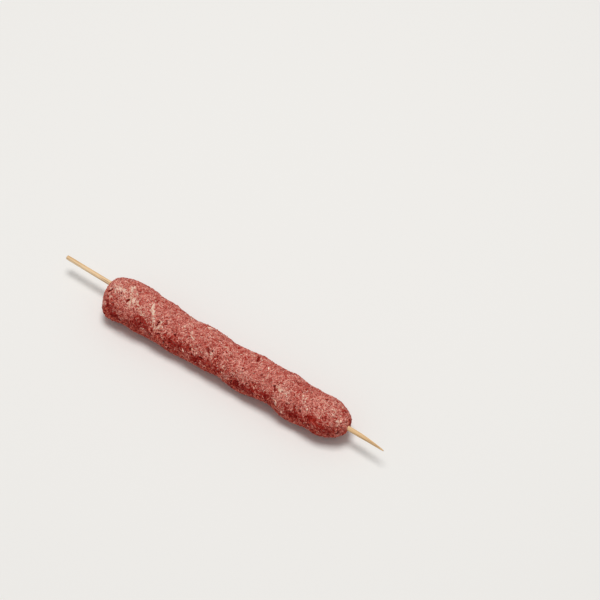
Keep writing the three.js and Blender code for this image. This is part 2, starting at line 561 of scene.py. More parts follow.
@dataclass(frozen=True)
class BambooFinish:
    """Turned bamboo: pale straw with fine darker fibres along the stick."""

    pale: Colour = (0.950, 0.725, 0.465, 1)
    straw: Colour = (0.790, 0.525, 0.265, 1)
    fibre: Colour = (0.420, 0.230, 0.100, 1)
    yellowing: Span = (80 * MM, 108 * MM)
    bands: Streaks = Streaks(20.0, 700.0, 2.0)
    fibres: Streaks = Streaks(60.0, 1700.0, 4.0)
    hairs: Streaks = Streaks(160.0, 6500.0, 2.0)
    straw_from: Span = (0.38, 0.68)
    fibre_from: Span = (0.50, 0.72)
    hair_from: Span = (0.45, 0.75)
    hair_share: float = 0.40
    hair_relief: float = 0.5
    relief: float = 0.08 * MM
    relief_strength: float = 0.6
    roughness: Span = (0.45, 0.75)

    def material(self) -> bpy.types.Material:
        """Builds the material.

        Returns:
            The material.
        """
        material, tree, shader = new_material("bamboo")
        place = tree.add("TexCoord").outputs["Object"]
        along = tree.add("SeparateXYZ", {"Vector": place}).outputs["X"]
        fibres, bands, hairs = (kind.noise(tree, place) for kind in (self.fibres, self.bands, self.hairs))
        colour = tree.mix(tree.step(bands, *self.straw_from), self.pale, self.straw)
        colour = tree.mix(tree.step(along, *self.yellowing), colour, self.straw)
        hair = tree.math("MULTIPLY", tree.step(hairs, *self.hair_from), self.hair_share)
        colour = tree.mix(hair, colour, self.fibre)
        colour = tree.mix(tree.step(fibres, *self.fibre_from), colour, self.fibre)
        grooves = tree.math("ADD", fibres, tree.math("MULTIPLY", hairs, self.hair_relief))
        bump = tree.bump(grooves, self.relief, self.relief_strength)
        rough = tree.span(hairs, *self.roughness)
        tree.feed(shader, {"Base Color": colour, "Roughness": rough, "Normal": bump})
        return material


@dataclass(frozen=True)
class FloorFinish:
    """A plain pale studio floor."""

    colour: Colour = (0.85, 0.845, 0.835, 1)
    roughness: float = 0.75
    glint_level: float = 0.2

    def material(self) -> bpy.types.Material:
        """Builds the material.

        Returns:
            The material.
        """
        material, tree, shader = new_material("floor")
        tree.feed(shader, {
            "Base Color": self.colour,
            "Roughness": self.roughness,
            "Specular IOR Level": self.glint_level,
        })
        return material


# ------------------------------------------------------------- marks and tones


class MarkKind(Enum):
    """What a mark on the meat is."""

    PALE = "pale"
    LEAN = "lean"
    PIT = "pit"


@dataclass(frozen=True)
class Mark:
    """A smear, patch or pit along a path on the meat.

    Each place of the path is a distance along the meat in mm and a turn round it in degrees. The
    width is half the mark's own, in mm, and the strength goes from 0 to 1.
    """

    path: tuple[tuple[float, float], ...]
    width: float
    strength: float

    def legs(self) -> list[tuple[tuple[float, float], tuple[float, float]]]:
        """Returns the path's straight legs."""
        return list(zip(self.path, self.path[1:]))


MARKS = {
    MarkKind.PALE: (
        Mark(((-75, 98), (-72, 106)), 2.3, 0.80),
        Mark(((-78, 124), (-76, 136)), 1.5, 0.45),
        Mark(((-75, 76), (-71, 76)), 1.8, 0.35),
        Mark(((-68, 76), (-66.5, 94), (-63.5, 116), (-61.5, 128)), 1.5, 0.95),
        Mark(((-64, 85), (-60.5, 112)), 1.3, 0.50),
        Mark(((-58.5, 114), (-54.5, 125), (-49, 135)), 1.4, 0.70),
        Mark(((-61, 42), (-60, 64)), 1.3, 0.36),
        Mark(((-51.5, 82), (-48, 105), (-45, 122), (-40.5, 149)), 1.1, 1.00),
        Mark(((-38.5, 122), (-38.5, 136), (-40, 147)), 1.1, 0.85),
        Mark(((-37.5, 148), (-33, 160)), 0.9, 0.55),
        Mark(((-31, 36), (-28, 32)), 1.7, 0.75),
        Mark(((-23, 58), (-23.5, 90), (-27, 107)), 2.6, 0.28),
        Mark(((-19, 97), (-16, 114)), 1.0, 0.42),
        Mark(((-15.5, 115), (-12, 117)), 1.5, 0.38),
        Mark(((-14.5, 127), (-12.5, 142)), 1.0, 0.55),
        Mark(((-9, 134), (0, 138)), 2.2, 0.30),
        Mark(((-1, 126), (5, 131)), 1.7, 0.35),
        Mark(((1, 80), (5.5, 86)), 1.0, 0.65),
        Mark(((11.5, 140), (11.5, 165)), 1.0, 0.55),
        Mark(((20, 53), (23, 59)), 1.5, 0.50),
        Mark(((27.5, 54), (30, 77)), 1.5, 0.45),
        Mark(((39, 98), (40.5, 111)), 1.0, 0.60),
        Mark(((47.5, 115), (51, 121)), 1.0, 1.00),
        Mark(((47, 132), (52, 147)), 1.1, 0.60),
        Mark(((48.5, 151), (51, 153)), 1.8, 0.40),
        Mark(((50.5, 109), (58.5, 120)), 3.2, 0.38),
        Mark(((51, 134), (58, 130)), 2.1, 0.32),
        Mark(((64.5, 74), (67, 97), (69, 113), (71.5, 125)), 2.2, 0.38),
        Mark(((80.5, 106), (81.5, 121)), 1.5, 0.42),
        Mark(((89.5, 55), (90, 69)), 1.0, 0.60),
        Mark(((92, 117), (96, 106)), 1.8, 0.38),
        Mark(((-80, 102), (-66, 108)), 7.0, 0.36),
        Mark(((77, 85), (89, 95)), 6.5, 0.24),
    ),
    MarkKind.LEAN: (
        Mark(((-76, 160), (-71, 170)), 3.8, 1.00),
        Mark(((-63.5, 97), (-62.5, 104)), 1.1, 0.80),
        Mark(((-57, 145), (-49, 144)), 3.0, 0.70),
        Mark(((-59, 165), (-43, 162)), 3.0, 0.65),
        Mark(((-29, 152), (-17, 155)), 3.5, 0.95),
        Mark(((-9, 168), (0, 158)), 3.3, 0.90),
        Mark(((5, 162), (10.5, 158)), 2.0, 0.85),
        Mark(((21, 176), (47, 156)), 3.5, 0.95),
        Mark(((61, 160), (71, 161)), 3.2, 0.90),
        Mark(((74.5, 148), (87, 157)), 3.9, 1.00),
        Mark(((91, 74), (93, 50)), 1.8, 0.70),
        Mark(((-13.5, 124), (-5, 124)), 1.2, 0.70),
        Mark(((-9, 45), (-8, 46)), 1.2, 1.00),
        Mark(((-78, 42), (88, 42)), 9.0, 0.14),
        Mark(((59, 70), (63, 100)), 7.0, 0.30),
    ),
    MarkKind.PIT: (
        Mark(((-65, 117), (-65.5, 121)), 1.15, 1.00),
        Mark(((-79, 112), (-80.5, 121)), 1.1, 1.00),
        Mark(((-40.5, 126), (-40.5, 138)), 0.8, 1.00),
        Mark(((-13.5, 147), (-13, 151)), 1.1, 0.90),
        Mark(((-5.5, 155), (-4, 157)), 1.1, 0.90),
        Mark(((-3, 120), (-1.5, 127)), 1.1, 0.80),
        Mark(((26, 54), (27.5, 70)), 1.15, 1.00),
        Mark(((49, 103), (49, 109)), 0.8, 0.80),
        Mark(((47.5, 120), (48.5, 130)), 1.05, 1.00),
        Mark(((57, 63), (59, 69)), 1.0, 0.80),
        Mark(((68.5, 142), (69, 145)), 1.3, 0.90),
        Mark(((95, 164), (94.5, 176)), 1.0, 0.90),
        Mark(((-72, 108), (-71.5, 112)), 0.8, 0.80),
        Mark(((-69, 62), (-68.5, 66)), 0.9, 0.80),
        Mark(((5, 128), (6, 132)), 0.9, 0.70),
        Mark(((13, 138), (13.5, 146)), 0.7, 0.60),
        Mark(((36, 112), (37, 116)), 0.7, 0.45),
        Mark(((79, 70), (80, 74)), 0.8, 0.70),
    ),
}


@dataclass(frozen=True)
class Fleck:
    """A lump of fat at a distance along the meat in mm and a turn round it in degrees.

    Pink goes from 0 for cream to 1, and the heading is the way it is drawn out, in radians from
    the stick's own way.
    """

    along: float
    turn: float
    radius: float
    pink: float = 0.0
    heading: float = 1.0


FLECKS = (
    Fleck(-12, 52, 1.60, heading=0.1),
    Fleck(53, 158, 1.05, 0.2),
    Fleck(35, 153, 0.80, 1.0),
    Fleck(36.5, 149, 0.70, 1.0),
    Fleck(-7, 84, 0.55),
    Fleck(-18, 160, 0.60),
    Fleck(17, 82, 0.55),
    Fleck(37, 80, 0.60),
    Fleck(58, 176, 0.60),
    Fleck(73, 128, 0.60),
    Fleck(-61.5, 112, 0.70),
    Fleck(82, 133, 0.50),
    Fleck(94, 109, 0.65),
    Fleck(66, 97, 0.60),
    Fleck(-69, 80, 0.60),
    Fleck(-8.5, 148, 0.60),
    Fleck(51, 95, 0.50),
    Fleck(29, 58, 0.60),
    Fleck(-80, 110, 0.65),
    Fleck(-50.5, 168, 0.65),
)


class MeatMap:
    """Turns places on the meat into distances along it and turns round it, and back."""

    MARK_EDGE = (0.35, 1.0)

    def __init__(self, points: np.ndarray, bin_width: float = 4 * MM) -> None:
        """Finds the middle of the meat's section all along it.

        Args:
            points: the meat's vertices.
            bin_width: the length over which a middle is averaged.
        """
        low, high = points[:, 0].min(), points[:, 0].max()
        self.stations = np.arange(low + bin_width / 2, high, bin_width)
        near = [np.abs(points[:, 0] - x) < bin_width for x in self.stations]
        self.middles = np.array([points[mask].mean(0) for mask in near])
        self.mean_radius = float(self.turns(points)[1].mean())

    def middle(self, along: np.ndarray) -> np.ndarray:
        """Returns the middle of the section at each distance along, one row each."""
        columns = [np.interp(along, self.stations, self.middles[:, axis]) for axis in (1, 2)]
        return np.stack([along, *columns], -1)

    def turns(self, points: np.ndarray) -> tuple[np.ndarray, np.ndarray]:
        """Measures places round the meat.

        Args:
            points: one row of coordinates for each place.

        Returns:
            The turn of each place in degrees from 0 to 360, and its distance from the middle.
        """
        away = points - self.middle(points[:, 0])
        turns = np.degrees(np.arctan2(away[:, 2], away[:, 1])) % 360
        return turns, np.hypot(away[:, 1], away[:, 2])

    def mark_strength(self, points: np.ndarray, kind: MarkKind, ragged: np.ndarray) -> np.ndarray:
        """Adds up the marks of one kind.

        Args:
            points: one row of coordinates for each place.
            kind: which marks count.
            ragged: a shift of each place's distance from a mark, as a share of its width.

        Returns:
            The strongest mark at each place, from 0 to 1.
        """
        turns, radius = self.turns(points)
        along, arc = points[:, 0] / MM, np.radians(turns) * radius / MM
        found = np.zeros(len(points))
        for mark in MARKS[kind]:
            for (x0, t0), (x1, t1) in mark.legs():
                arc0, arc1 = (math.radians(t) * radius / MM for t in (t0, t1))
                dx, da = x1 - x0, arc1 - arc0
                share = (((along - x0) * dx + (arc - arc0) * da) / (dx**2 + da**2)).clip(0, 1)
                away = np.hypot(along - x0 - share * dx, arc - arc0 - share * da) / mark.width
                inside = 1 - soft_step(away + ragged, *self.MARK_EDGE)
                found = np.maximum(found, mark.strength * inside)
        return found


@dataclass
class MeatTones:
    """The slow changes of colour over the meat: pale zones, lean zones, and painted shade that makes the low
    sides darker and redder.
    """

    map: MeatMap
    rng: InitVar[np.random.Generator]
    broad_wave: float = 26 * MM
    patchy_wave: float = 9 * MM
    edge_wave: float = 3.5 * MM
    patchy_share: float = 0.6
    pale_zone: float = 0.7
    pale_from: Span = (-0.4, 2.2)
    lean_zone: float = 0.35
    lean_from: Span = (0.2, 2.4)
    ragged_smears: float = 0.25
    ragged_lean: float = 0.30
    ragged_pits: float = 0.20
    # The fields from here on place the painted shade of the low sides.
    low_patches: float = 0.16
    low_ragged: float = 0.09
    low_until: Span = (-0.18, 0.78)
    underside_from: Span = (0.20, 0.85)
    underside_fade: float = 0.60

    def __post_init__(self, rng: np.random.Generator) -> None:
        """Draws the noises."""
        waves = (self.broad_wave, self.patchy_wave, self.edge_wave)
        self.broad, self.patchy, self.edge = (SoftNoise(rng, wave) for wave in waves)

    def zones(self, points: np.ndarray) -> np.ndarray:
        """Returns how far each place leans to fat, which is above 0, or to lean, below it."""
        return (1 - self.patchy_share) * self.broad(points) + self.patchy_share * self.patchy(points)

    def smear(self, points: np.ndarray) -> np.ndarray:
        """Returns how thick the named smears of fat are at each place, from 0 to 1."""
        return self.map.mark_strength(points, MarkKind.PALE, self.ragged_smears * self.edge(points))

    def pale(self, points: np.ndarray) -> np.ndarray:
        """Returns how fatty the meat is at each place, from 0 to 1."""
        zones = self.pale_zone * soft_step(self.zones(points), *self.pale_from)
        return np.maximum(zones, self.smear(points))

    def lean(self, points: np.ndarray) -> np.ndarray:
        """Finds the lean, red meat.

        Args:
            points: one row of coordinates for each place.

        Returns:
            How lean it is at each place, from 0 to 1.
        """
        zones = self.lean_zone * soft_step(-self.zones(points), *self.lean_from)
        marks = self.map.mark_strength(points, MarkKind.LEAN, self.ragged_lean * self.edge(points))
        return np.maximum(zones, marks) * (1 - self.smear(points))

    def pits(self, points: np.ndarray) -> np.ndarray:
        """Returns how deep the named pits are at each place, from 0 to 1."""
        return self.map.mark_strength(points, MarkKind.PIT, self.ragged_pits * self.edge(points))

    def low(self, points: np.ndarray, normals: np.ndarray) -> np.ndarray:
        """Finds the low sides, where painted shade makes the meat darker and redder than on the top and on
        the underside.

        Args:
            points: one row of coordinates for each place.
            normals: the surface's normal there.

        Returns:
            A share from 0 to 1 for each place.
        """
        facing = normals[:, 2] + self.low_patches * self.patchy(points) + self.low_ragged * self.edge(points)
        low = 1 - soft_step(facing, *self.low_until)
        return low * (1 - self.underside_fade * soft_step(-facing, *self.underside_from))


# ------------------------------------------------------------------- sub-parts


class Skin:
    """A surface that strands are laid on."""

    def __init__(self, mesh: bpy.types.Mesh) -> None:
        """Reads a mesh.

        Args:
            mesh: the surface.
        """
        self.points = read_points(mesh)
        self.corners = read_triangles(mesh)
        self.tree = BVHTree.FromPolygons(self.points.tolist(), self.corners.tolist())
        a, b, c = (self.points[self.corners[:, i]] for i in range(3))
        self.across = np.cross(b - a, c - a)
        self.areas = np.linalg.norm(self.across, axis=1) / 2

    def scatter(self, count: int, rng: np.random.Generator) -> tuple[np.ndarray, np.ndarray]:
        """Picks evenly spread random places.

        Args:
            count: how many.
            rng: where the random numbers come from.

        Returns:
            The places and the surface's normals there.
        """
        chosen = rng.choice(len(self.areas), count, p=self.areas / self.areas.sum())
        u, v = rng.random((2, count, 1))
        flip = u + v > 1
        u, v = np.where(flip, 1 - u, u), np.where(flip, 1 - v, v)
        a, b, c = (self.points[self.corners[chosen, i]] for i in range(3))
        return a + (b - a) * u + (c - a) * v, unit(self.across[chosen])

    def walk(self, start: np.ndarray, way: np.ndarray, step: float, bends: np.ndarray) -> np.ndarray:
        """Walks over the surface.

        Args:
            start: where the walk starts.
            way: which way it starts off.
            step: the length of a step.
            bends: how far it turns after each step, in radians.

        Returns:
            Three rows of coordinates for each step: the place, the way on and the normal.
        """
        here, heading = Vector(start), Vector(way)
        rows = []
        for bend in bends:
            spot, normal, _, _ = self.tree.find_nearest(here)
            heading = (heading - normal * heading.dot(normal)).normalized()
            rows.append((tuple(spot), tuple(heading), tuple(normal)))
            here = spot + heading * step
            heading = heading * math.cos(bend) + normal.cross(heading) * math.sin(bend)
        return np.array(rows)


def random_sizes(limits: Span, bias: Span, count: int, rng: np.random.Generator) -> np.ndarray:
    """Draws sizes between two limits, with the two numbers of a beta distribution as their bias."""
    return limits[0] + (limits[1] - limits[0]) * rng.beta(*bias, count)


def random_bends(curl: float, count: int, rng: np.random.Generator) -> np.ndarray:
    """Draws a strand's bend after each step, in radians, where curl is the spread of their mean."""
    return rng.normal(rng.normal(0, curl), curl / 2, count)


@dataclass
class StrandRelief:
    """The strands that the roll's own surface is made of."""

    per_square_mm: float = 1.10
    length: Span = (1.6 * MM, 4.6 * MM)
    radius: Span = (0.36 * MM, 0.72 * MM)
    step: float = 0.5 * MM
    curl: float = 0.40
    sink: Span = (-0.45 * MM, 0.10 * MM)
    height: float = 0.50 * MM
    fullness: float = 0.7
    tone: float = 0.32
    tone_spread: float = 0.16
    paler_in_fat: float = 0.20
    redder_in_lean: float = 0.55
    tone_limits: Span = (-0.25, 1.1)
    # Painted highlight and shade: tone is added along each strand's crest and taken off at its edges
    crest_painted_highlight: float = 0.55
    foot_painted_shade: float = 0.20
    fat_share: float = 0.03
    fat_share_in_fat: float = 0.25
    fat_share_in_smears: float = 0.30
    fatness: Span = (0.3, 0.8)
    smear_fatness: float = 0.9

    def lay(self, skin: Skin, tones: MeatTones, rng: np.random.Generator) -> None:
        """Lays the strands over a surface and keeps their sample points as arrays.

        Args:
            skin: the smooth surface that they lie on.
            tones: the slow changes of colour.
            rng: where the random numbers come from.
        """
        count = int(skin.areas.sum() / MM**2 * self.per_square_mm)
        starts, normals = skin.scatter(count, rng)
        ways = unit(np.cross(normals, rng.normal(size=(count, 3))))
        steps = np.maximum((rng.uniform(*self.length, count) / self.step).astype(int), 2)
        self.radii = rng.uniform(*self.radius, count)
        self.sinks = rng.uniform(*self.sink, count)
        pale, lean, smear = tones.pale(starts), tones.lean(starts), tones.smear(starts)
        self.tones = self.tone + self.paler_in_fat * pale - self.redder_in_lean * lean
        self.tones += rng.normal(0, self.tone_spread, count)
        fatty = self.fat_share + self.fat_share_in_fat * pale + self.fat_share_in_smears * smear
        chosen = rng.random(count) < fatty
        self.fats = np.where(chosen, rng.uniform(*self.fatness, count), self.smear_fatness * smear)
        walks = [
            skin.walk(starts[i], ways[i], self.step, random_bends(self.curl, steps[i], rng))
            for i in range(count)
        ]
        self.points, self.ways, _ = np.concatenate(walks).transpose(1, 0, 2)
        self.owners = np.repeat(np.arange(count), steps)

    def relief(self, places: np.ndarray) -> tuple[np.ndarray, np.ndarray, np.ndarray]:
        """Works out the strands' relief.

        Args:
            places: one row of three coordinates for each place.

        Returns:
            The height, the tone with its painted crest highlight and edge shade, and the fat of the topmost
            strand at each place.
        """
        tree = KDTree(len(self.points))
        for i, point in enumerate(self.points):
            tree.insert(point, i)
        tree.balance()
        reach = self.radius[1] + self.step / 2
        found = [[k for _, k, _ in tree.find_range(place, reach)] for place in places]
        rows = np.repeat(np.arange(len(places)), [len(near) for near in found])
        samples = np.concatenate([np.array(near, int) for near in found])
        away = places[rows] - self.points[samples]
        along = (away * self.ways[samples]).sum(1).clip(-self.step / 2, self.step / 2)
        away = np.linalg.norm(away - self.ways[samples] * along[:, None], axis=1)
        owner = self.owners[samples]
        share = (away / self.radii[owner]).clip(0, 1)
        bare = self.sink[0]
        rise = np.where(share < 1, self.sinks[owner] + self.height * (1 - share**2) ** self.fullness, bare)
        order = np.lexsort((rise, rows))
        top = order[np.append(rows[order][1:] != rows[order][:-1], True)]
        heights, tone, fat = np.full(len(places), bare), np.zeros(len(places)), np.zeros(len(places))
        heights[rows[top]] = rise[top].clip(bare)
        covered = rise[top] > bare
        # Painted highlight on the crest, painted shade towards the strand's edges
        crest_light_and_shade = self.crest_painted_highlight * (1 - share[top] ** 2) - self.foot_painted_shade
        tone[rows[top]] = np.where(covered, (self.tones[owner[top]] + crest_light_and_shade).clip(*self.tone_limits), 0.0)
        fat[rows[top]] = np.where(covered, self.fats[owner[top]], 0.0)
        return heights, tone, fat


@dataclass
class MeatRoll:
    """The hand-pressed roll of mince, with its grain as real relief."""

    weld: float = 1e-6
    voxel: float = 0.46 * MM
    bore_wall: float = 1.9 * MM
    smoothing_rounds: int = 22
    smoothing_pulls: Span = (0.60, -0.62)
    pit_depth: float = 0.8 * MM
    gap_depth: float = 0.40 * MM
    gap_reach: int = 10
    strands: StrandRelief = field(default_factory=StrandRelief)

    def smooth(self, solid: bpy.types.Object) -> bpy.types.Object:
        """Builds the roll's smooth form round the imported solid, still without its grain.

        Args:
            solid: the CAD node that gives the outer form.

        Returns:
            The roll's object.
        """
        roll = self.remeshed(solid)
        edges = read_edges(roll.data)
        points = read_points(roll.data)
        for pull in self.smoothing_pulls * self.smoothing_rounds:
            points = smoothed(points, edges, 1, pull)
        write_points(roll.data, points)
        return roll

    def remeshed(self, solid: bpy.types.Object) -> bpy.types.Object:
        """Makes a fine even mesh of the solid's outer form, with its bore closed.

        Args:
            solid: the CAD node that gives the outer form.

        Returns:
            The roll's object.
        """
        mesh = solid.data.copy()
        work = bmesh.new()
        work.from_mesh(mesh)
        bmesh.ops.remove_doubles(work, verts=work.verts, dist=self.weld)
        low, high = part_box("stick")
        axis_height = (low.z + high.z) / 2
        inner = [
            face for face in work.faces
            if all(math.hypot(v.co.y, v.co.z - axis_height) < self.bore_wall for v in face.verts)
        ]
        bmesh.ops.delete(work, geom=inner, context="FACES_ONLY")
        rims = [edge for edge in work.edges if edge.is_boundary]
        bmesh.ops.holes_fill(work, edges=rims, sides=0)
        work.to_mesh(mesh)
        work.free()
        roll = bpy.data.objects.new("mince_roll", mesh)
        bpy.context.scene.collection.objects.link(roll)
        remesh = roll.modifiers.new("even", "REMESH")
        remesh.mode = "VOXEL"
        remesh.voxel_size = self.voxel
        remesh.use_smooth_shade = True
        apply_modifiers(roll)
        return roll

    def grain(self, roll: bpy.types.Object, tones: MeatTones, rng: np.random.Generator) -> None:
        """Gives the smooth roll its relief, its colours and its painted shade.

        Args:
            roll: the smooth roll.
            tones: the slow changes of colour.
            rng: where the random numbers come from.
        """
        mesh = roll.data
        points, normals, edges = read_points(mesh), read_normals(mesh), read_edges(mesh)
        self.strands.lay(Skin(mesh), tones, rng)
        heights, tone, fat = self.strands.relief(points)
        pits = tones.pits(points)
        heights = heights - np.median(heights) - self.pit_depth * pits
        # Painted shade: places below the blurred surface get depth, which darkens them towards the gap
        # colour
        depth = ((smoothed(heights, edges, self.gap_reach) - heights) / self.gap_depth).clip(0, 1)
        write_points(mesh, above_floor(points + normals * heights[:, None]))
        # The pits join the recesses in that painted shade, and low marks the low sides for painted shade
        depth, low = np.maximum(depth, pits), tones.low(points, normals)
        write_values(mesh, tone=tone, fat=fat * (1 - pits), depth=depth, low=low)


@dataclass
class Places:
    """Where strands start on a surface, and which way they lie."""

    starts: np.ndarray
    normals: np.ndarray
    ways: np.ndarray

    def picked(self, keep: np.ndarray) -> "Places":
        """Returns the chosen places."""
        return Places(self.starts[keep], self.normals[keep], self.ways[keep])

    def joined(self, other: "Places") -> "Places":
        """Returns these places and then the others."""
        pairs = zip((self.starts, self.normals, self.ways), (other.starts, other.normals, other.ways))
        return Places(*(np.concatenate(pair) for pair in pairs))


@dataclass
class Sowing:
    """Chooses where loose strands and flecks lie on the roll.

    A place that is named by its turn is looked for from clear_of_meat away, in mm.
    """

    skin: Skin
    map: MeatMap
    tones: MeatTones
    rng: np.random.Generator
    clear_of_meat: float = 30
    clear_of_floor: float = 0.8 * MM
    round_the_roll: float = 0.7
    floor_spare: float = 1.25
    zone_spare: float = 1.9
    zone_chance: float = 0.62
    zone_pull: float = 0.35
    smear_clearing: float = 0.9
    smear_spread: float = 0.35
    heading_spread: float = 0.12

    def anywhere(self, count: int) -> Places:
        """Spreads places evenly over the surface, less the strip that it lies on.

        Args:
            count: how many are wanted.

        Returns:
            About as many places.
        """
        starts, normals = self.skin.scatter(int(count * self.floor_spare), self.rng)
        across = self.rng.normal(size=(len(starts), 3)) * [1 + self.round_the_roll, 1, 1]
        found = Places(starts, normals, unit(np.cross(normals, across)))
        return found.picked(np.flatnonzero(starts[:, 2] > self.clear_of_floor)[:count])

    def by_zone(self, count: int, likes_pale: float) -> Places:
        """Spreads places over the surface, more of them in the pale zones or in the lean ones.

        Args:
            count: how many are wanted.
            likes_pale: 1 for many more in the pale zones, -1 for many more in the lean ones, and
                0 for neither.

        Returns:
            The places.
        """
        found = self.anywhere(int(count * self.zone_spare))
        drift = self.tones.pale(found.starts) - self.tones.lean(found.starts)
        chance = self.zone_chance + self.zone_pull * likes_pale * drift
        chance = chance * (1 - self.smear_clearing * self.tones.smear(found.starts))
        chance = chance * (1 - self.tones.pits(found.starts))
        return found.picked(np.flatnonzero(self.rng.random(len(chance)) < chance)[:count])

    def along_smears(self, per_square_mm: float) -> Places:
        """Places strands in the named smears, lying along them.

        Args:
            per_square_mm: how many strands there are in a smear of full strength.

        Returns:
            The places.
        """
        spots, headings, rng = [], [], self.rng
        degree = math.radians(1) * self.map.mean_radius / MM
        for mark in MARKS[MarkKind.PALE]:
            for (x0, t0), (x1, t1) in mark.legs():
                dx, rise = x1 - x0, (t1 - t0) * degree
                length = math.hypot(dx, rise)
                for _ in range(int(length * mark.width * 2 * per_square_mm * mark.strength**2) + 1):
                    share, off = rng.random(), rng.normal(0, mark.width * self.smear_spread)
                    x = x0 + dx * share - off * rise / length
                    spots.append((x * MM, t0 + (t1 - t0) * share + off * dx / length / degree))
                    heading = math.atan2(rise, dx) + rng.normal(0, self.heading_spread)
                    headings.append(heading + math.pi * (rng.random() < 0.5))
        return self.at(spots, headings)

    def at(self, spots: list[tuple[float, float]], headings: list[float]) -> Places:
        """Finds given places on the surface.

        Args:
            spots: a distance along the meat and a turn round it for each place.
            headings: the angle in radians from the stick's way, for each place.

        Returns:
            The places.
        """
        rows = []
        for (x, turn), heading in zip(spots, headings):
            angle = math.radians(turn)
            out = Vector((0, math.cos(angle), math.sin(angle)))
            middle = Vector(self.map.middle(np.array([x]))[0])
            spot, normal, _, _ = self.skin.tree.ray_cast(middle + out * self.clear_of_meat * MM, -out)
            onwards = Vector((0, -math.sin(angle), math.cos(angle)))
            way = Vector((1, 0, 0)) * math.cos(heading) + onwards * math.sin(heading)
            rows.append((tuple(spot), tuple(normal), tuple(way)))
        return Places(*np.array(rows).transpose(1, 0, 2))


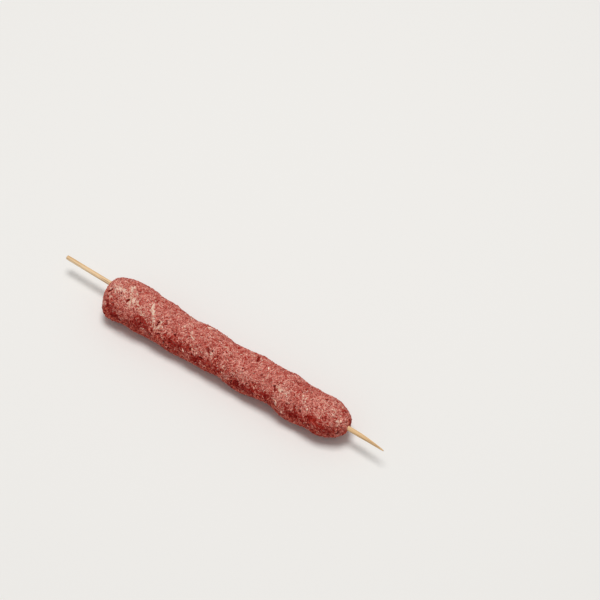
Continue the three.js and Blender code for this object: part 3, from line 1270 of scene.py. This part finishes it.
@dataclass
class LooseStrands:
    """Short strands that lie half sunk in the roll, joined into one piece.

    Likes_pale goes from -1, for a kind that keeps to the lean zones, to 1, for one that keeps to
    the pale ones. The tone goes from 0 for lean to 1 for pale and above, and the fat from 0 to 1.
    """

    name: str
    count: int
    likes_pale: float
    length: Span
    radius: Span
    tone: float
    per_square_mm_of_smear: float = 0.0
    fat: Span = (0.0, 0.0)
    sink: float = 0.30
    rings: int = 6
    sides: int = 6
    curl: float = 0.40
    easing_rounds: int = 2
    crumple: float = 0.09 * MM
    crumple_length: float = 1.5 * MM
    length_bias: Span = (1.2, 2.0)
    radius_bias: Span = (1.5, 2.0)
    end_taper: float = 0.90
    knobbliness: Span = (0.65, 1.35)
    one_sidedness: float = 0.35
    flatness: Span = (1.0, 1.35)
    end_cap: float = 0.5
    thinner_in_pits: float = 0.85
    lost_in_pits: float = 0.62
    paler_in_fat: float = 0.15
    redder_in_lean: float = 0.95
    tone_spread: float = 0.15
    tone_limits: Span = (-0.25, 1.3)
    fat_off_smears: float = 0.55
    smear_fatness: float = 1.1
    # Painted shade on each strand's sides, underside and ends
    foot_depth: float = 0.9
    foot_rise: float = 0.6
    end_rise: float = 0.3

    def build(self, sowing: Sowing) -> bpy.types.Object:
        """Lays the strands, joins them and stores their colours and painted shade.

        Args:
            sowing: what chooses where they start on the roll.

        Returns:
            The piece's object.
        """
        rng, tones, places = sowing.rng, sowing.tones, self.places(sowing)
        strands, kept = self.tubes(places, sowing)
        strands = strands[kept]
        size = strands.shape[1]
        points = strands.reshape(-1, 3)
        waves = [SoftNoise(rng, self.crumple_length) for _ in range(3)]
        points = above_floor(points + self.crumple * np.stack([wave(points) for wave in waves], 1))
        one = tube_faces(self.rings, self.sides)
        faces = [tuple(v + i * size for v in face) for i in range(len(kept)) for face in one]
        made = mesh_object(self.name, points, faces)

        starts, count = places.starts, len(places.starts)
        smear = tones.smear(starts)
        tone = self.tone + self.paler_in_fat * tones.pale(starts) - self.redder_in_lean * tones.lean(starts)
        tone = (tone + rng.normal(0, self.tone_spread, count)).clip(*self.tone_limits)
        fat = rng.uniform(*self.fat, count) * (self.fat_off_smears + (1 - self.fat_off_smears) * smear)
        fat = fat + self.smear_fatness * smear * rng.random(count)
        # low marks the low sides for painted shade
        low = tones.low(starts, places.normals)
        # Painted shade: each strand's sides, underside and ends take depth towards the gap colour; its top
        # stays clear
        rise = np.tile(np.maximum(np.sin(self.angles()), 0) ** self.foot_rise, self.rings)
        strand_side_shade = self.foot_depth * (1 - np.append(rise, [self.end_rise] * 2))
        tone, fat, low = (np.repeat(values[kept], size) for values in (tone, fat, low))
        write_values(made.data, tone=tone, fat=fat, depth=np.tile(strand_side_shade, len(kept)), low=low)
        return made

    def angles(self) -> np.ndarray:
        """Returns the angle of each side of a strand, with the first at its top."""
        return np.linspace(0, 2 * math.pi, self.sides, endpoint=False) + math.pi / 2

    def places(self, sowing: Sowing) -> Places:
        """Chooses where the strands start.

        Args:
            sowing: what finds places on the roll.

        Returns:
            The places, with those along the smears first, for a kind that fills them.
        """
        if not self.per_square_mm_of_smear:
            return sowing.by_zone(self.count, self.likes_pale)
        along = sowing.along_smears(self.per_square_mm_of_smear)
        return along.joined(sowing.by_zone(self.count, self.likes_pale))

    def tubes(self, places: Places, sowing: Sowing) -> tuple[np.ndarray, np.ndarray]:
        """Lays each strand over the roll as rings of points and two end points.

        Args:
            places: where each strand starts.
            sowing: what knows the roll's surface and its pits.

        Returns:
            The points of each strand, and the numbers of those that don't cross a pit.
        """
        rng, count = sowing.rng, len(places.starts)
        lengths = random_sizes(self.length, self.length_bias, count, rng)
        radii = random_sizes(self.radius, self.radius_bias, count, rng)
        walks = np.array([
            sowing.skin.walk(start, way, length / (self.rings - 1), random_bends(self.curl, self.rings, rng))
            for start, way, length in zip(places.starts, places.ways, lengths)
        ])
        middles, headings, ups = walks.transpose(2, 0, 1, 3)
        middles, ups = self.eased(middles), unit(self.eased(ups))
        sides = unit(np.cross(ups, headings))
        t = np.linspace(-1, 1, self.rings)
        swell = np.sqrt(1 - self.end_taper * np.abs(t) ** 3)
        swell = swell * rng.uniform(*self.knobbliness, (count, self.rings))
        swell = swell * (1 + self.one_sidedness * rng.uniform(-1, 1, (count, 1)) * t)
        open_pit = sowing.tones.pits(middles.reshape(-1, 3)).reshape(count, self.rings)
        thick = radii[:, None] * swell * (1 - self.thinner_in_pits * open_pit)
        middles = middles - ups * (thick * self.sink)[..., None]
        flat = rng.uniform(*self.flatness, (count, 1, 1, 1))
        across, upwards = (wave(self.angles())[:, None] for wave in (np.cos, np.sin))
        out = across * sides[:, :, None] * flat + upwards * ups[:, :, None] / flat
        rings = middles[:, :, None] + out * thick[:, :, None, None]
        caps = headings * (thick * self.end_cap)[..., None]
        ends = [middles[:, :1] - caps[:, :1], middles[:, -1:] + caps[:, -1:]]
        kept = np.flatnonzero(open_pit.max(1) < self.lost_in_pits)
        return np.concatenate([rings.reshape(count, -1, 3), *ends], 1), kept

    def eased(self, rows: np.ndarray) -> np.ndarray:
        """Evens out each walk, so that a strand bridges the dips under it.

        Args:
            rows: a row of coordinates for each step of each walk.

        Returns:
            The rows, with the first and the last of each walk as they were.
        """
        for _ in range(self.easing_rounds):
            middle = (rows[:, :-2] + rows[:, 1:-1] * 2 + rows[:, 2:]) / 4
            rows = np.concatenate([rows[:, :1], middle, rows[:, -1:]], 1)
        return rows


LOOSE_STRANDS = (
    LooseStrands(
        "lean_strands", 2700, -0.5, (1.2 * MM, 4.4 * MM), (0.34 * MM, 0.60 * MM), 0.42, sink=0.40
    ),
    LooseStrands("pink_strands", 2700, 0.0, (1.2 * MM, 4.6 * MM), (0.34 * MM, 0.62 * MM), 0.70),
    LooseStrands(
        "pale_strands", 2750, 0.8, (1.4 * MM, 6.0 * MM), (0.28 * MM, 0.52 * MM), 1.10,
        fat=(0.0, 0.4), sink=0.15, rings=7, sides=5,
    ),
    LooseStrands(
        "fat_strands", 220, 1.0, (1.8 * MM, 5.0 * MM), (0.34 * MM, 0.58 * MM), 0.90,
        per_square_mm_of_smear=0.9, fat=(0.6, 1.0), sink=0.45, curl=0.15, crumple=0.06 * MM,
    ),
)


@dataclass
class FatFlecks:
    """Small lumps of fat, half sunk in the roll and joined into one piece."""

    count: int = 150
    likes_pale: float = 0.5
    radius: Span = (0.26 * MM, 0.60 * MM)
    radius_bias: Span = (1.2, 2.6)
    flatness: float = 0.55
    stretch: Span = (1.0, 1.7)
    lumpiness: float = 0.24
    lump_wave: float = 1.6
    lump_spacing: float = 9.0
    sink: float = 0.30
    named_sink: float = -0.05
    roundness: int = 3
    pink: Span = (0.0, 0.8)
    pink_foot: float = 0.5

    def build(self, sowing: Sowing) -> bpy.types.Object:
        """Makes the named flecks and then the scattered ones, and joins them.

        Args:
            sowing: what chooses where the flecks sit on the roll.

        Returns:
            The piece's object.
        """
        spots = [(fleck.along * MM, fleck.turn) for fleck in FLECKS]
        places = sowing.at(spots, [fleck.heading for fleck in FLECKS])
        places, rng = places.joined(sowing.by_zone(self.count, self.likes_pale)), sowing.rng
        ball = bmesh.new()
        bmesh.ops.create_icosphere(ball, subdivisions=self.roundness, radius=1.0)
        round_points = np.array([tuple(v.co) for v in ball.verts])
        round_faces = np.array([[v.index for v in face.verts] for face in ball.faces])
        ball.free()
        count, named = len(places.starts), len(FLECKS)
        radii = random_sizes(self.radius, self.radius_bias, count, rng)
        radii[:named] = [fleck.radius * MM for fleck in FLECKS]
        lumpy = SoftNoise(rng, self.lump_wave)
        rows = []
        for i in range(count):
            up, way = places.normals[i], places.ways[i]
            side = np.cross(up, way)
            stretch = rng.uniform(*self.stretch)
            swell = 1 + self.lumpiness * lumpy(round_points + self.lump_spacing * i)
            form = [stretch, 1 / math.sqrt(stretch), self.flatness]
            shape = round_points * swell[:, None] * form * radii[i]
            sink = self.named_sink if i < named else self.sink
            rows.append(places.starts[i] - up * radii[i] * sink + shape @ np.array([way, side, up]))
        points = above_floor(np.concatenate(rows))
        size = len(round_points)
        faces = (round_faces[None] + size * np.arange(count)[:, None, None]).reshape(-1, 3)
        made = mesh_object("fat_flecks", points, [tuple(face) for face in faces.tolist()])
        pink = rng.uniform(*self.pink, count)
        pink[:named] = [fleck.pink for fleck in FLECKS]
        foot = self.pink_foot * (1 - round_points[:, 2].clip(0, 1))
        # low marks the low sides for painted shade
        low = sowing.tones.low(places.starts, places.normals)
        write_values(made.data, depth=np.repeat(pink, size) + np.tile(foot, count), low=np.repeat(low, size))
        return made


@dataclass
class BambooStick:
    """The round bamboo stick, cut square at one end and sharpened at the other."""

    sides: int = 40
    rings: int = 260
    fibre_depth: float = 0.012 * MM
    point_length: float = 19 * MM
    point_end_radius: float = 0.25 * MM
    point_fullness: float = 0.62
    point_offset: float = 0.8 * MM
    edge_chamfer: float = 0.2 * MM

    def build(self, rng: np.random.Generator) -> bpy.types.Object:
        """Builds the stick in the place of its CAD node.

        Args:
            rng: where the random numbers come from.

        Returns:
            The stick's object.
        """
        low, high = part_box("stick")
        radius, height = (high.z - low.z) / 2, (high.z + low.z) / 2
        turns = np.linspace(0, 2 * math.pi, self.sides, endpoint=False)
        fibres = self.fibre_depth * rng.uniform(-1, 0, self.sides)
        rings = []
        for x in (low.x, *np.linspace(low.x + self.edge_chamfer, high.x, self.rings)):
            t = min(max((x - high.x + self.point_length) / self.point_length, 0.0), 1.0)
            thick = self.point_end_radius + (radius - self.point_end_radius) * (1 - t) ** self.point_fullness
            thick -= self.edge_chamfer * (x == low.x)
            out = thick + fibres * thick / radius
            across = np.cos(turns) * out - self.point_offset * t**2
            rings.append(np.stack([np.full(self.sides, x), across, np.sin(turns) * out + height], 1))
        ends = [[low.x, 0, height], [high.x, -self.point_offset, height]]
        points = np.concatenate([*rings, ends])
        return mesh_object("bamboo_stick", points, tube_faces(len(rings), self.sides))


@dataclass(frozen=True)
class Stand:
    """Where a lamp or a camera stands.

    The azimuth is the degrees round the object from its front, the elevation the degrees above
    the floor, and away the distance from what it faces.
    """

    azimuth: float
    elevation: float
    away: float

    def hold(self, data: bpy.types.Light | bpy.types.Camera, aim: Vector) -> bpy.types.Object:
        """Puts a lamp or a camera there.

        Args:
            data: the lamp or the camera.
            aim: the point that it faces.

        Returns:
            Its object.
        """
        a, e = math.radians(self.azimuth), math.radians(self.elevation)
        back = Vector((math.sin(a) * math.cos(e), -math.cos(a) * math.cos(e), math.sin(e)))
        held = bpy.data.objects.new(data.name, data)
        bpy.context.scene.collection.objects.link(held)
        held.location = aim + back * self.away
        held.rotation_euler = (-back).to_track_quat("-Z", "Y").to_euler()
        return held


@dataclass
class Studio:
    """The pale floor, the soft key light under an even sky, and the camera."""

    floor_side: float = 6.0
    sky: float = 0.36
    sky_colour: Colour = (1.0, 0.99, 0.97, 1)
    key_stand: Stand = Stand(-150.0, 84.0, 2.2)
    key_side: float = 0.9
    key_power: float = 33.0
    key_colour: tuple[float, float, float] = (1.0, 0.985, 0.96)
    camera_stand: Stand = Stand(36.58, 52.40, 1414 * MM)
    camera_aim: tuple[float, float, float] = (9.94 * MM, 69.70 * MM, 0.0)
    lens: float = 132.03
    sensor: float = 36.0
    sight: float = 20.0

    def build(self) -> None:
        """Builds the floor, the lights and the camera."""
        half = self.floor_side / 2
        corners = [(-half, -half, 0), (half, -half, 0), (half, half, 0), (-half, half, 0)]
        floor = mesh_object("floor", np.array(corners), [(0, 1, 2, 3)])
        floor.data.materials.append(FloorFinish().material())
        self.light()
        self.camera()

    def light(self) -> None:
        """Adds the key light and the sky."""
        key = bpy.data.lights.new("key", "AREA")
        key.size = self.key_side
        key.energy = self.key_power
        key.color = self.key_colour
        self.key_stand.hold(key, Vector((0, 0, 0)))
        world = bpy.data.worlds.new("studio")
        world.use_nodes = True
        background = world.node_tree.nodes["Background"]
        Tree(world.node_tree).feed(background, {"Color": self.sky_colour, "Strength": self.sky})
        bpy.context.scene.world = world
        bpy.context.scene.view_settings.view_transform = "Standard"

    def camera(self) -> None:
        """Adds the camera."""
        data = bpy.data.cameras.new("camera")
        data.lens = self.lens
        data.sensor_width = self.sensor
        data.clip_end = self.sight
        bpy.context.scene.camera = self.camera_stand.hold(data, Vector(self.camera_aim))


def hand_in(
    piece: bpy.types.Object, material: bpy.types.Material, node: str | None = None
) -> None:
    """Dresses a piece and tells the frame about it.

    Args:
        piece: the finished object.
        material: its only material.
        node: the CAD node that it replaces, if any.
    """
    piece.data.materials.clear()
    piece.data.materials.append(material)
    if node:
        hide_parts(node)
    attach(piece, "root")
    triangles = sum(len(face.vertices) - 2 for face in piece.data.polygons)
    log.info("%s: %d triangles", piece.name, triangles)


def main() -> None:
    """Builds the studio and every piece of the skewer."""
    logging.basicConfig(level=logging.INFO, format="%(name)s: %(message)s")
    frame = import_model()
    Studio().build()

    rng = np.random.default_rng(SEED)
    hand_in(BambooStick().build(rng), BambooFinish().material(), "stick")

    grain = FleshGrain().group()
    mince, fat = MinceFinish().material(grain), FatFinish().material(grain)
    shape = MeatRoll()
    roll = shape.smooth(frame["nodes"]["meat"])
    meat_map = MeatMap(read_points(roll.data))
    tones = MeatTones(meat_map, rng)
    shape.grain(roll, tones, rng)
    hand_in(roll, mince, "meat")

    sowing = Sowing(Skin(roll.data), meat_map, tones, rng)
    for strands in LOOSE_STRANDS:
        hand_in(strands.build(sowing), mince)
    hand_in(FatFlecks().build(sowing), fat)


if __name__ == "__main__":
    main()
